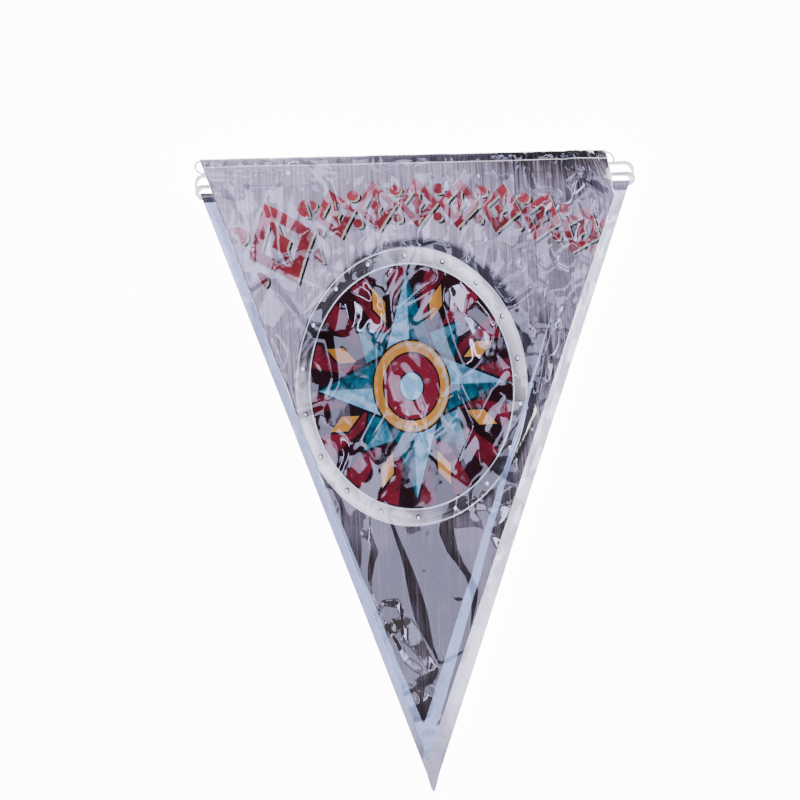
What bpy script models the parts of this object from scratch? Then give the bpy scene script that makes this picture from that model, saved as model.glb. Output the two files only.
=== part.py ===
"""A folded line of pennant bunting: ten triangular flags piled on each other, with their line tucked in.

The line is folded back and forth, so the flags lie face up and face down in turn. The front flag has
slid up the pile, and the line's slack lies as flat hairpins in the shelf beneath its top edge.
Units are metres, +Z is up, the flags hang towards -Y, and the pile rests on z = 0.
"""

from collections import namedtuple
from math import ceil, cos, exp, hypot, radians, sin

import bmesh
import bpy
from mathutils import Vector
from mathutils.geometry import interpolate_bezier

MM = 0.001

# Driving dimensions
FLAG_WIDTH = 215 * MM
FLAG_HEIGHT = 303 * MM
SHEET = 1.0 * MM
HEM_DEPTH = 5.0 * MM
HEM_THICKNESS = 1.3 * MM
HEM_STEP = 0.4 * MM
HEM_ROUNDING = 0.35 * MM
TIP_WIDTH = 1.2 * MM
CORD_DIAMETER = 1.0 * MM
CLEARANCE = 0.3 * MM

# From one flag to the next, at the pile's hems and at its tips
HEM_PITCH = HEM_THICKNESS + CLEARANCE
TIP_PITCH = SHEET + CLEARANCE

# The front flag has slid this far up the pile, lies this much looser, and droops over the pile's hems
FRONT_SLIP = 16.4 * MM
FRONT_LOOSE = 0.3 * MM
FRONT_DROOP = 2.4 * MM

# The front flag's right corner is crumpled in by this much, from so far across its edge and so far down
CORNER_IN = 12 * MM
CORNER_FROM = 72 * MM
CORNER_DEPTH = 24 * MM

# The line runs inside each hem this far below its edge, and its slack lies in layers on the surface
CORD_BELOW_EDGE = HEM_THICKNESS
CORD_PITCH = CORD_DIAMETER + 0.35 * MM
CORD_RESOLUTION = 2
FLOOR_GAP = 0.05 * MM

# Points on the line lie this close together where it bends. Past this length a stretch is straight.
BEND_SPACING = 2 * CORD_DIAMETER
STRAIGHT_FROM = 7 * CORD_DIAMETER

# The pile's middle is the origin, so its hems lie this far up +Y
HEM_LINE = (FLAG_HEIGHT - FRONT_SLIP) / 2

# Where each flag lies in the pile: sideways and along in millimetres, and turned in degrees
Place = namedtuple("Place", "number across along turn")
PLACES = [
    Place(1, 0.0, 0.0, 0.00),
    Place(2, -0.4, -0.3, 0.10),
    Place(3, -0.2, 0.1, -0.10),
    Place(4, 0.2, -0.2, 0.06),
    Place(5, 0.1, -0.1, -0.12),
    Place(6, -0.2, -0.2, 0.08),
    Place(7, -0.4, 0.2, 0.10),
    Place(8, 0.2, -0.1, -0.08),
    Place(9, 0.0, 0.0, 0.00),
    Place(10, 0.0, FRONT_SLIP / MM, -0.45),
]
BACK = PLACES[0].number
FRONT = PLACES[-1].number

# The rows and columns of cells that a flag needs to follow its bed: one on the flat surface at the back
Grid = namedtuple("Grid", "rows columns")
GRIDS = {BACK: Grid(1, 1), FRONT: Grid(38, 24)}
PILE_GRID = Grid(10, 6)

# Broad swells of the whole pile, in millimetres: their middle across and down from the pile's hems,
# their half width, and how far they lift the front flag. The back flag lies flat.
Swell = namedtuple("Swell", "across down half_width height")
SWELLS = [
    Swell(-64, 44, 48, 2.2),
    Swell(52, 96, 54, 1.6),
    Swell(-14, 158, 46, 2.4),
    Swell(14, 236, 42, 1.8),
    Swell(88, 10, 40, 1.5),
]

# The front flag's soft folds, in millimetres: points across and down from the middle of its top edge,
# the fold's half width, and how high it stands.
Fold = namedtuple("Fold", "points half_width height")
FOLDS = [
    Fold([(61, 39), (47, 79)], 17, 1.2),
    Fold([(-74, 93), (-56, 149)], 13, 1.6),
    Fold([(44, 149), (31, 213)], 11, 1.3),
    Fold([(-19, 164), (-28, 180), (-29, 205), (-20, 238)], 5.0, 1.5),
    Fold([(-17, 174), (-11, 192), (-3, 220), (6, 256)], 5.5, 1.7),
    Fold([(5, 186), (16, 197), (25, 215)], 5.0, 1.3),
    Fold([(-14, 230), (-8, 244), (1, 260)], 4.5, 1.1),
    Fold([(64, 97), (54, 131), (46, 159)], 5.0, 1.4),
    Fold([(-78, 81), (-68, 103)], 5.0, 1.1),
    Fold([(-95, 10), (-53, 11)], 5.0, 0.8),
    Fold([(84, 0), (83, 11), (71, 22), (56, 28)], 5.5, 2.4),
    Fold([(95, 8), (99, 24)], 5.0, 1.2),
    Fold([(-80, 0), (-82, 12)], 4.5, 1.0),
    Fold([(0, 294), (0, 303)], 7.0, 1.8),
]

# The line's hairpin from one hem end to the next, seen from above in millimetres: out past the pile's
# corner, up from its hems, and sunk is its share of the way from hem level down to the slack.
Bend = namedtuple("Bend", "out up sunk")
INNER_TURN = [
    Bend(-0.2, -1.3, 0.0),
    Bend(0.9, -1.1, 0.0),
    Bend(1.8, -0.3, 0.02),
    Bend(2.2, 0.9, 0.04),
    Bend(1.8, 2.4, 0.07),
    Bend(0.5, 3.7, 0.14),
    Bend(-3.0, 4.2, 0.33),
]
LOWER_RUN = [
    Bend(-13.0, 4.2, 0.72),
    Bend(-28.0, 3.9, 0.95),
    Bend(-50.0, 4.2, 1.0),
    Bend(-76.0, 3.9, 1.0),
]
MIDDLE_TURN = [
    Bend(-98.5, 4.0, 1.0),
    Bend(-101.9, 4.9, 1.0),
    Bend(-103.0, 6.9, 1.0),
    Bend(-101.9, 8.9, 1.0),
    Bend(-98.5, 9.8, 1.0),
]
UPPER_RUN = [
    Bend(-74.0, 10.0, 1.0),
    Bend(-48.0, 9.6, 1.0),
    Bend(-28.0, 9.9, 0.95),
    Bend(-13.0, 9.8, 0.72),
    Bend(-3.0, 9.8, 0.46),
]
OUTER_TURN = [
    Bend(0.4, 9.3, 0.36),
    Bend(2.0, 7.8, 0.29),
    Bend(2.6, 5.6, 0.22),
    Bend(2.6, 2.8, 0.14),
    Bend(2.3, 0.9, 0.07),
    Bend(1.8, -0.3, 0.03),
    Bend(0.9, -1.1, 0.0),
    Bend(-0.2, -1.3, 0.0),
]
FRONT_TURN = [
    Bend(-0.2, 15.1, 0.0),
    Bend(0.9, 14.9, 0.0),
    Bend(1.8, 14.1, 0.03),
    Bend(2.2, 12.9, 0.08),
    Bend(1.8, 11.4, 0.15),
    Bend(0.6, 10.2, 0.26),
]
FRONT_FREE_END = [Bend(-44.0, 4.1, 1.0)]
BACK_FREE_END = [Bend(-6.0, 9.8, 1.0)]


def clear_scene():
    for obj in list(bpy.data.objects):
        bpy.data.objects.remove(obj)


def plain_material(name, colour, roughness):
    material = bpy.data.materials.new(name)
    material.use_nodes = True
    shader = material.node_tree.nodes["Principled BSDF"]
    shader.inputs["Base Color"].default_value = (*colour, 1.0)
    shader.inputs["Roughness"].default_value = roughness
    shader.inputs["Metallic"].default_value = 0.0
    return material


def swell_height(x, y):
    """How far the pile's broad swells lift its front flag at a point of the pile."""
    height = 0.0
    for swell in SWELLS:
        away = hypot(x / MM - swell.across, y / MM + swell.down)
        height += swell.height * exp(-((away / swell.half_width) ** 2))
    return height * MM


def bed_height(number, x, y):
    """The underside of a flag at a point of the pile, whose hems lie along y = 0 and whose tips lie at -y."""
    towards_tip = min(1.0, max(0.0, -y / FLAG_HEIGHT))
    pitch = HEM_PITCH + (TIP_PITCH - HEM_PITCH) * towards_tip
    share = (number - 1) / (FRONT - 1)
    height = (number - 1) * pitch + share * swell_height(x, y)
    if number == FRONT:
        height += FRONT_LOOSE - FRONT_DROOP * (max(0.0, y) / FRONT_SLIP) ** 2
    return height


def distance_to_segment(x, y, start, end):
    run_x, run_y = end[0] - start[0], end[1] - start[1]
    share = ((x - start[0]) * run_x + (y - start[1]) * run_y) / (run_x**2 + run_y**2)
    share = min(1.0, max(0.0, share))
    return hypot(x - start[0] - share * run_x, y - start[1] - share * run_y)


def fold_height(across, down):
    """How far the front flag's folds lift it, across and down from the middle of its top edge."""
    x, y = across / MM, down / MM
    height = 0.0
    for fold in FOLDS:
        nearest = min(
            distance_to_segment(x, y, start, end)
            for start, end in zip(fold.points, fold.points[1:])
        )
        height += fold.height * exp(-((nearest / fold.half_width) ** 2))
    return height * MM


def half_width(down):
    return max(TIP_WIDTH / 2, FLAG_WIDTH / 2 * (1 - down / FLAG_HEIGHT))


def row_depths(rows):
    """How far down each row of the cloth lies: close rows over the hem, then even ones to the tip."""
    hem = [0.0, HEM_ROUNDING, HEM_DEPTH, HEM_DEPTH + HEM_STEP]
    rest = FLAG_HEIGHT - hem[-1]
    return hem + [hem[-1] + rest * row / rows for row in range(1, rows + 1)]


def thickness(down):
    """The turned hem is thicker than the single sheet, and its top edge is rounded off."""
    if down == 0.0:
        return HEM_THICKNESS - HEM_ROUNDING
    return HEM_THICKNESS if down <= HEM_DEPTH else SHEET


def flag_material(number):
    """Even flags lie face up and show their print, and odd ones show their plain reverse."""
    return "pennant_print" if number % 2 == 0 else "pennant_reverse"


def on_the_pile(place, across, down):
    """The point of the pile, sideways and along, over which a point of the flag lies."""
    turn = radians(place.turn)
    x = across * cos(turn) + down * sin(turn) + place.across * MM
    y = across * sin(turn) - down * cos(turn) + place.along * MM
    return x, y


def laid(number, across, down):
    """A point of the flag's underside as it lies: across, down from its top edge, and up off the surface."""
    lift = 0.0
    if number == FRONT:
        lift = fold_height(across, down)
        sideways = max(0.0, across - CORNER_FROM) / (FLAG_WIDTH / 2 - CORNER_FROM)
        across -= CORNER_IN * sideways * max(0.0, 1 - down / CORNER_DEPTH)
    bed = bed_height(number, *on_the_pile(PLACES[number - 1], across, down))
    return across, down, bed + lift


def build_flag(place, materials, pile):
    grid = GRIDS.get(place.number, PILE_GRID)
    depths = row_depths(grid.rows)
    bm = bmesh.new()
    bmesh.ops.create_grid(bm, x_segments=grid.columns, y_segments=len(depths) - 1, size=1.0)
    for vert in bm.verts:
        row = round((1 - vert.co.y) / 2 * (len(depths) - 1))
        across, down, up = laid(place.number, vert.co.x * half_width(depths[row]), depths[row])
        vert.co = (across, -down, up)
    front_side = bmesh.ops.extrude_face_region(bm, geom=bm.faces[:])
    for vert in front_side["geom"]:
        if isinstance(vert, bmesh.types.BMVert):
            down = min(depths, key=lambda depth: abs(depth + vert.co.y))
            vert.co.z += thickness(down)
    bmesh.ops.recalc_face_normals(bm, faces=bm.faces[:])
    name = f"pennant_{place.number:02d}"
    mesh = bpy.data.meshes.new(name)
    bm.to_mesh(mesh)
    bm.free()
    mesh.materials.append(materials[flag_material(place.number)])
    flag = bpy.data.objects.new(name, mesh)
    bpy.context.scene.collection.objects.link(flag)
    flag.parent = pile
    flag.location = (place.across * MM, place.along * MM, 0.0)
    flag.rotation_euler = (0.0, 0.0, radians(place.turn))
    return flag


def hem_end(number, side):
    """Where the line comes out of a flag's hem, just clear of its right (1) or left (-1) end."""
    across, down, up = laid(number, side * half_width(CORD_BELOW_EDGE), CORD_BELOW_EDGE)
    x, y = on_the_pile(PLACES[number - 1], across + side * CLEARANCE, down)
    return Vector((x, y, up + HEM_THICKNESS / 2))


def slack_height(layer):
    """The middle of a cord that lies so many layers up from the surface."""
    return FLOOR_GAP + CORD_DIAMETER / 2 + layer * CORD_PITCH


def at_bend(bend, side):
    return Vector((side * (FLAG_WIDTH / 2 + bend.out * MM), bend.up * MM, 0.0))


def route(bends, side, layer, start, end=None):
    """The bends as points on the pile, each drawn towards the hem end that is nearer to it along the line."""
    points = []
    for index, bend in enumerate(bends):
        leaving = end is None or index < len(bends) / 2
        hem, hem_bend = (start, bends[0]) if leaving else (end, bends[-1])
        drawn = hem - at_bend(hem_bend, side)
        point = at_bend(bend, side) + drawn * (1 - bend.sunk)
        point.z += slack_height(layer) * bend.sunk
        points.append(point)
    return points


def smooth(points):
    """Points on one smooth curve through the route's own."""
    ends = [2 * points[0] - points[1], *points, 2 * points[-1] - points[-2]]
    curve = []
    for before, start, stop, after in zip(ends, ends[1:], ends[2:], ends[3:]):
        length = (stop - start).length
        leaving = start + (stop - before).normalized() * length / 3
        arriving = stop - (after - start).normalized() * length / 3
        steps = 1 if length > STRAIGHT_FROM else ceil(length / BEND_SPACING)
        curve += interpolate_bezier(start, leaving, arriving, stop, steps + 1)[:-1]
    return [*curve, points[-1]]


def build_cord(name, points, material, pile):
    curve = bpy.data.curves.new(name, "CURVE")
    curve.dimensions = "3D"
    curve.bevel_depth = CORD_DIAMETER / 2
    curve.bevel_resolution = CORD_RESOLUTION
    curve.use_fill_caps = True
    line = smooth(points)
    spline = curve.splines.new("POLY")
    spline.points.add(len(line) - 1)
    for point, place in zip(spline.points, line):
        point.co = (*place, 1.0)
    curve.materials.append(material)
    cord = bpy.data.objects.new(name, curve)
    bpy.context.scene.collection.objects.link(cord)
    cord.parent = pile
    return cord


def build_line(material, pile):
    """The line outside the hems: a hairpin between each two flags, right and left in turn, and two tails."""
    hairpin = INNER_TURN + LOWER_RUN + MIDDLE_TURN + UPPER_RUN + OUTER_TURN
    front_hairpin = FRONT_TURN + (INNER_TURN[1:] + LOWER_RUN + MIDDLE_TURN + UPPER_RUN)[::-1] + INNER_TURN[:1]
    for lower in range(BACK, FRONT):
        side = 1 if lower % 2 else -1
        bends = front_hairpin if lower + 1 == FRONT else hairpin
        points = route(bends, side, lower // 2, hem_end(lower + 1, side), hem_end(lower, side))
        build_cord(f"line_hairpin_{lower}", points, material, pile)
    back_tail = INNER_TURN + LOWER_RUN + MIDDLE_TURN + UPPER_RUN[:-1] + BACK_FREE_END
    front_tail = FRONT_TURN + (LOWER_RUN[2:] + MIDDLE_TURN + UPPER_RUN)[::-1] + FRONT_FREE_END
    build_cord("line_tail_back", route(back_tail, -1, 0, hem_end(BACK, -1)), material, pile)
    build_cord("line_tail_front", route(front_tail, -1, FRONT // 2, hem_end(FRONT, -1)), material, pile)


def main():
    clear_scene()
    pile = bpy.data.objects.new("pile", None)
    pile.location = (0.0, HEM_LINE, 0.0)
    bpy.context.scene.collection.objects.link(pile)
    materials = {
        "pennant_print": plain_material("pennant_print", (0.33, 0.31, 0.36), 0.45),
        "pennant_reverse": plain_material("pennant_reverse", (0.62, 0.61, 0.68), 0.5),
        "line_cord": plain_material("line_cord", (0.75, 0.75, 0.76), 0.7),
    }
    for place in PLACES:
        build_flag(place, materials, pile)
    build_line(materials["line_cord"], pile)


main()
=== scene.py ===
# %% [markdown]
# # A folded line of pennant bunting
#
# Ten printed film pennants hang on one string. For the shop they are folded back and forth along the
# string into a flat pile, face up and face down in turn. Each pennant has the same parts: a cut triangle
# of thin film, a hem turned over the string and welded, and a print that covers the whole face.
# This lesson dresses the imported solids: every solid gets a piece that is made as the real thing is.

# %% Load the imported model
from collections import namedtuple
from functools import partialmethod, reduce
from math import ceil, cos, pi, radians, sin

import bpy
import numpy as np
from mathutils import Matrix, Vector
from mathutils.geometry import interpolate_bezier


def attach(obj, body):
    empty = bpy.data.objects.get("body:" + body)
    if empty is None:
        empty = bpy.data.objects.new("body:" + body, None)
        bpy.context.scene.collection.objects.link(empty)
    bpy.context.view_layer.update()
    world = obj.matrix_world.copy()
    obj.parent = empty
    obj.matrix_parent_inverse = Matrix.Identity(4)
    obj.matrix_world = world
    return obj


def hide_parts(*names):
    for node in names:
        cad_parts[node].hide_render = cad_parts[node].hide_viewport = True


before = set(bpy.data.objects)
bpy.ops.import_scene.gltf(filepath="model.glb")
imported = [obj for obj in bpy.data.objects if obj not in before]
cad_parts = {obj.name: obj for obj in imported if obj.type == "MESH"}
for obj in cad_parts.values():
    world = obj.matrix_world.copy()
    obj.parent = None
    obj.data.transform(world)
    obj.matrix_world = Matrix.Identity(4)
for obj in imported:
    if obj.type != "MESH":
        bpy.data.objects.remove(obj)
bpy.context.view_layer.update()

MM = 0.001

# %% [markdown]
# ## The sizes
#
# The driving sizes are those of the solids. The string's route and the pile's levels are worked out from
# them with the same formulas, so each piece lies in the space of the solid that it replaces.

# %% Sizes of the flags and the pile
FLAG_WIDTH = 215 * MM
FLAG_HEIGHT = 303 * MM
SHEET = 1 * MM
HEM_THICKNESS = 1.3 * MM
TIP_WIDTH = 1.2 * MM
CORD_DIAMETER = 1 * MM
CLEARANCE = 0.3 * MM
HEM_PITCH = HEM_THICKNESS + CLEARANCE
TIP_PITCH = SHEET + CLEARANCE
FRONT_SLIP = 16.4 * MM
FRONT_LOOSE = 0.3 * MM
FRONT_DROOP = 2.4 * MM
CORNER_IN = 12 * MM
CORNER_FROM = 72 * MM
CORNER_DEPTH = 24 * MM
HEM_LINE = (FLAG_HEIGHT - FRONT_SLIP) / 2

Place = namedtuple("Place", "number across along turn")
BACK_TO_FRONT = [
    (0, 0, 0), (-0.4, -0.3, 0.10), (-0.2, 0.1, -0.10), (0.2, -0.2, 0.06), (0.1, -0.1, -0.12),
    (-0.2, -0.2, 0.08), (-0.4, 0.2, 0.10), (0.2, -0.1, -0.08), (0, 0, 0), (0, FRONT_SLIP / MM, -0.45),
]
PLACES = [Place(number, *place) for number, place in enumerate(BACK_TO_FRONT, 1)]
BACK = PLACES[0].number
FRONT = PLACES[-1].number

# A swell of the pile: across, down, its half width and its height, in millimetres
SWELLS = [(-64, 44, 48, 2.2), (52, 96, 54, 1.6), (-14, 158, 46, 2.4), (14, 236, 42, 1.8), (88, 10, 40, 1.5)]
print("one flag:", FLAG_WIDTH / MM, "x", FLAG_HEIGHT / MM, "mm, in a pile of", FRONT)

# %% [markdown]
# ## The camera
#
# The photograph looks straight down with a long lens. The pile leans a little in it, so the camera rolls.
# Half a millimetre of the flags fills one pixel, which gives the height, and the second flag's top edge
# has a known pixel, which gives the place.

# %% Camera
PHOTO_PIXELS = 800
PIXEL = 0.5 * MM
LENS = 85
SENSOR = 36
CAMERA_ROLL = radians(1.79)
HEM_PIXEL = (415.1, 186.7)
PILE_TOP = 14.5 * MM

image_right = Vector((cos(CAMERA_ROLL), -sin(CAMERA_ROLL), 0))
image_up = Vector((sin(CAMERA_ROLL), cos(CAMERA_ROLL), 0))
middle = Vector((0, HEM_LINE, PILE_TOP))
middle += image_right * (PHOTO_PIXELS / 2 - HEM_PIXEL[0]) * PIXEL
middle -= image_up * (PHOTO_PIXELS / 2 - HEM_PIXEL[1]) * PIXEL
camera_height = PHOTO_PIXELS * PIXEL * LENS / SENSOR

bpy.ops.object.camera_add(location=middle + Vector((0, 0, camera_height)))
camera = bpy.context.object
camera.name = "camera"
camera.data.lens = LENS
camera.data.sensor_width = SENSOR
camera.rotation_euler = Matrix((image_right, image_up, (0, 0, 1))).transposed().to_euler()
bpy.context.scene.camera = camera
print("camera", round(camera_height, 3), "m above the flags")

# %% [markdown]
# ## Where a flag lies
#
# Film takes the shape of what is under it. These functions give the level of each flag's bed, for whole
# arrays of points at once.


# %% The bed under each flag
def swell_height(x, y):
    """How far the pile's broad swells lift its front flag."""
    height = 0
    for across, down, reach, lift in SWELLS:
        away = np.hypot(x / MM - across, y / MM + down)
        height = height + lift * MM * np.exp(-((away / reach) ** 2))
    return height


def bed_height(number, x, y):
    """The underside of a flag's solid at points of the pile, whose hems lie along y = 0."""
    towards_tip = np.clip(-y / FLAG_HEIGHT, 0, 1)
    pitch = HEM_PITCH + (TIP_PITCH - HEM_PITCH) * towards_tip
    height = (number - 1) * pitch + (number - 1) / (FRONT - 1) * swell_height(x, y)
    if number == FRONT:
        height = height + FRONT_LOOSE - FRONT_DROOP * (np.maximum(0, y) / FRONT_SLIP) ** 2
    return height


def on_the_pile(place, across, down):
    """The points of the pile over which points of a flag lie."""
    turn = radians(place.turn)
    x = across * cos(turn) + down * sin(turn) + place.across * MM
    y = across * sin(turn) - down * cos(turn) + place.along * MM
    return x, y


def half_width(down):
    return np.maximum(TIP_WIDTH / 2, FLAG_WIDTH / 2 * (1 - down / FLAG_HEIGHT))


def corner_pushed_in(across, down):
    """The front flag's right corner is crumpled inwards."""
    sideways = np.maximum(0, across - CORNER_FROM) / (FLAG_WIDTH / 2 - CORNER_FROM)
    return across - CORNER_IN * sideways * np.clip(1 - down / CORNER_DEPTH, 0, 1)


print("front flag's bed in the middle:", round(float(bed_height(FRONT, 0, -0.1)) / MM, 2), "mm up")

# %% [markdown]
# ## Creases
#
# Film doesn't drape in soft waves. Pressed flat in a pile it keeps sharp, narrow steps: on one side of the
# ridge it falls steeply, and on the other it comes back over a long gentle slope. The steep side mirrors
# the dark room in place of the lamp above, so it reads as a dark patch with crisp edges. A crease here is
# a line of points with the width of its steep side at each, and it fades at both ends. Soft folds lie under
# the creases. Near the tip two hollows and a broad ridge level the film between them and keep it bright.

# %% Soft folds and crisp creases of the front flag, in millimetres across and down
# A soft fold is its points, its half width and its height.
FOLDS = [
    ([(61, 39), (47, 79)], 17, 0.9),
    ([(-74, 93), (-56, 149)], 13, 1.1),
    ([(44, 149), (31, 213)], 11, 0.9),
    ([(-19, 164), (-28, 180), (-29, 205), (-20, 238)], 7, 0.9),
    ([(-17, 174), (-11, 192), (-3, 220), (6, 256)], 8, 1),
    ([(64, 97), (54, 131), (46, 159)], 5, 1),
    ([(84, 0), (83, 11), (71, 22), (56, 28)], 5.5, 1.8),
    ([(95, 8), (99, 24)], 4, 1),
    ([(0, 294), (0, 303)], 7, 1.4),
    ([(0, 230), (4, 236)], 32, -1.2),
    ([(2, 224), (16, 236)], 13, -0.5),
    ([(-12, 180), (24, 180)], 26, 1),
]

# A crease is its slope and its points, each with how wide the steep side is there. At both ends it is
# END_WIDTH. The steep side lies to the right of a line that runs down the flag, and above one that runs
# to the right. A negative slope turns it round.
CREASES = [
    (0.29, (-25.7, 173), (-27.3, 178, 1), (-27, 186, 1.4), (-27.9, 193, 4), (-26.6, 198, 4.2),
     (-28.3, 207, 3), (-28.5, 212, 2.5), (-26.3, 221, 1.2), (-22.5, 230, 1.4), (-19.7, 236, 1.8),
     (-15.8, 244, 2.5), (-11.1, 254, 4), (-4.2, 260, 4.5), (1.7, 261)),
    (-0.25, (-18.1, 171), (-16.3, 179, 1.4), (-13.5, 187, 1.8), (-9.7, 196, 2.8), (-5.9, 205, 4.2),
     (-3.1, 213, 5.8), (-0.8, 220, 7), (1.5, 228, 7.6), (2.8, 236, 6.2), (4.1, 245, 4.2), (6.9, 253, 2.6),
     (8.8, 257)),
    (-0.29, (17.9, 170), (16.6, 176, 3.5), (15.8, 182, 6.5), (15.7, 188, 8.5), (17.3, 197, 6.5),
     (20.1, 204, 4.6), (24, 211, 3.6), (27, 218, 4.2), (26.4, 225, 3.2), (24.3, 233, 1.5), (22, 241)),
    (0.29, (-22.6, 223), (-19.4, 225, 2.6), (-14.4, 226, 3.8), (-9.2, 226)),
    (0.29, (-17.1, 232), (-12.7, 238, 8), (-8.4, 246, 9), (-3.1, 253, 7.5), (0.8, 259, 6), (3.7, 265)),
    (-0.22, (28.9, 169), (31.7, 178, 5), (36, 186, 5.2), (38.9, 193)),
    (0.29, (-11.3, 263), (-6.4, 268, 4), (-3.1, 274, 7), (-1.5, 280, 4), (-1, 284)),
    (0.29, (11.6, 224), (17.5, 229, 0.9), (20.5, 231)),
    (0.31, (-48.8, 72), (-46.5, 76, 3), (-43, 77, 5.5), (-39.8, 74, 6), (-35.5, 66)),
    (0.31, (-34.2, 66), (-34.9, 77, 2.8), (-33.9, 83, 2), (-31.6, 84)),
    (0.31, (42.9, 108), (46.3, 111, 2.2), (50.7, 114)),
    (0.31, (36.1, 118), (43, 122, 7), (51.9, 127, 9), (59.8, 131)),
    (0.31, (68.9, 84), (63.6, 100, 1.4), (60.8, 110, 2.2), (58.6, 119, 2.2), (55.8, 133)),
    (0.31, (-78.1, 82), (-74.2, 90, 4.6), (-70, 99, 5), (-66.6, 106)),
    (0.31, (23, 81), (29.2, 74, 4.4), (37.2, 72, 5.6), (47.2, 74)),
    (0.31, (-28.5, 60), (-26.7, 66, 3.6), (-22.8, 71, 3), (-18.8, 73)),
    (0.31, (11.5, 61), (15.3, 67, 6), (21.4, 64, 5), (25.5, 61)),
    (-0.28, (38.9, 129), (40.6, 139, 6), (34.4, 149, 6), (29.2, 156)),
    (0.29, (-26.6, 170), (-25.3, 178, 1), (-27, 185)),
    (0.31, (-53.1, 126), (-54.3, 135, 1.6), (-50.5, 145, 2), (-45.8, 155)),
    (0.31, (-47.8, 156), (-46, 163, 3), (-42.8, 176, 3), (-40.3, 177)),
    (-0.46, (-97, 5.6), (-92, 6.6, 2.2), (-83.6, 7, 2.4), (-69.8, 6.8, 2), (-60, 7.4, 1.4), (-52.6, 8.6)),
    (-0.46, (-94.2, 11.7), (-89, 12.8, 2), (-82.4, 13.2, 2.4), (-67.4, 13, 2), (-50.5, 14.6)),
    (-0.46, (-98.9, 20), (-91.3, 19.3, 1.8), (-83.8, 18.9)),
    (0.31, (-96.6, 5.7), (-96.4, 9.5, 4.2), (-95.9, 13.2, 2.5), (-95, 14.5)),
    (-0.31, (53.7, 17.9), (60, 17.4, 3.8), (67.4, 19, 4.5), (74.9, 19)),
    (0.31, (55.5, 21.2), (57.3, 25.6, 2.8), (61, 29.4, 3.2), (64.7, 32)),
    (-0.28, (99.8, 26.6), (94.6, 36.5, 2), (89.2, 50.1, 1.5), (81.4, 64.9)),
    (-0.28, (92.3, 27.7), (87, 40.1, 1.2), (81, 53.7, 1), (77.6, 64.8)),
    (-0.42, (72.9, 8.4), (80.2, 7.6, 2.8), (87.7, 9.8, 3.6), (95.8, 13.4)),
    (-0.42, (80.6, 13.6), (88.8, 14.6, 2.6), (95, 17.6, 3.4), (101.5, 21.6)),
    (-0.31, (60.8, 5.5), (69.5, 4.9, 2), (76.2, 6.3)),
    (0.31, (-72.1, 53.8), (-64.8, 59, 5), (-57.3, 61.7, 5.5), (-48.7, 66.9)),
    (0.31, (34.3, 47.6), (41.8, 49, 3.8), (49.1, 54.2, 4.5), (54, 61.8)),
    (-0.44, (-52.2, 3), (-42.3, 6.4, 1.9), (-32.3, 7.2)),
    (-0.44, (-24.8, 6.4), (-17.3, 5.3, 2.6), (-9.7, 4.2, 2.6), (0.2, 5.8)),
]
END_WIDTH = 0.1
GENTLE_SIDE = 8
FADE = 3
print(len(FOLDS), "soft folds and", len(CREASES), "creases")


# %% How far they lift the film
def along_line(x, y, points):
    """Each point's distance from a line, the side that it lies on, and the line's width there."""
    lengths = [np.hypot(end[0] - start[0], end[1] - start[1]) for start, end in zip(points, points[1:])]
    walked = 0
    nearest = np.full(x.shape, np.inf)
    side, place, width, weights = (np.zeros(x.shape) for _ in range(4))
    for start, end, length in zip(points, points[1:], lengths):
        run_x, run_y = (end[0] - start[0]) / length, (end[1] - start[1]) / length
        along = np.clip((x - start[0]) * run_x + (y - start[1]) * run_y, 0, length)
        away_x, away_y = x - start[0] - along * run_x, y - start[1] - along * run_y
        away = np.hypot(away_x, away_y)
        nearer = away < nearest
        nearest = np.where(nearer, away, nearest)
        side = np.where(nearer, np.sign(run_y * away_x - run_x * away_y), side)
        place = np.where(nearer, walked + along, place)
        weight = 1 / (away**2 + 0.5) ** 2
        width += weight * (start[-1] + along / length * (end[-1] - start[-1]))
        weights += weight
        walked += length
    fade = np.clip(place / FADE, 0, 1) * np.clip((walked - place) / FADE, 0, 1)
    return nearest, side, np.maximum(END_WIDTH, fade * width / weights)


def fold_height(across, down):
    height = np.zeros(across.shape)
    for points, reach, lift in FOLDS:
        away, _, _ = along_line(across, down, points)
        height += lift * np.exp(-((away / reach) ** 2))
    return height


def crease_height(across, down):
    height = np.zeros(across.shape)
    for slope, first, *others, last in CREASES:
        points = [(*first, END_WIDTH), *others, (*last, END_WIDTH)]
        away, side, width = along_line(across, down, points)
        signed = away * side * np.sign(slope)
        top = abs(slope) * width
        steep = np.clip(1 - signed / width, 0, 1)
        gentle = np.clip(1 + signed / (GENTLE_SIDE * width), 0, 1)
        height += top * np.where(signed > 0, steep, gentle**2 * (3 - 2 * gentle))
    return height


# %% [markdown]
# ## The second flag's margin
#
# The right margin of the second flag shows beside the front one. It sags outwards in two narrow strips
# that run along the edge. Their slope is the one that mirrors the lamp beside the pile, a little more
# towards the tip, so the margin gleams in long streaks.

# %% Strips along the margin
Strip = namedtuple("Strip", "inside first last width")
STRIPS = [Strip(8, 8, 196, 3.6), Strip(3.9, 10, 188, 3.4)]
STRIP_FADE = 12


def margin_sag(across, down):
    """How far the second flag's margin hangs lower than its bed, in millimetres."""
    inside = FLAG_WIDTH / MM / 2 * (1 - down * MM / FLAG_HEIGHT) - across
    sag = np.zeros(across.shape)
    for strip in STRIPS:
        width = strip.width + 0.8 * np.sin(down / 5 + strip.inside)
        outwards = strip.inside + 0.5 * np.sin(down / 7 + strip.inside) - inside
        slope = 0.125 + 0.0003 * down + 0.02 * np.sin(down / 4.3 + strip.inside)
        fade = np.clip(np.minimum(down - strip.first, strip.last - down) / STRIP_FADE, 0, 1)
        sag += slope * fade * np.clip(outwards, 0, width)
    return sag


print(len(STRIPS), "strips along the margin")

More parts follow.
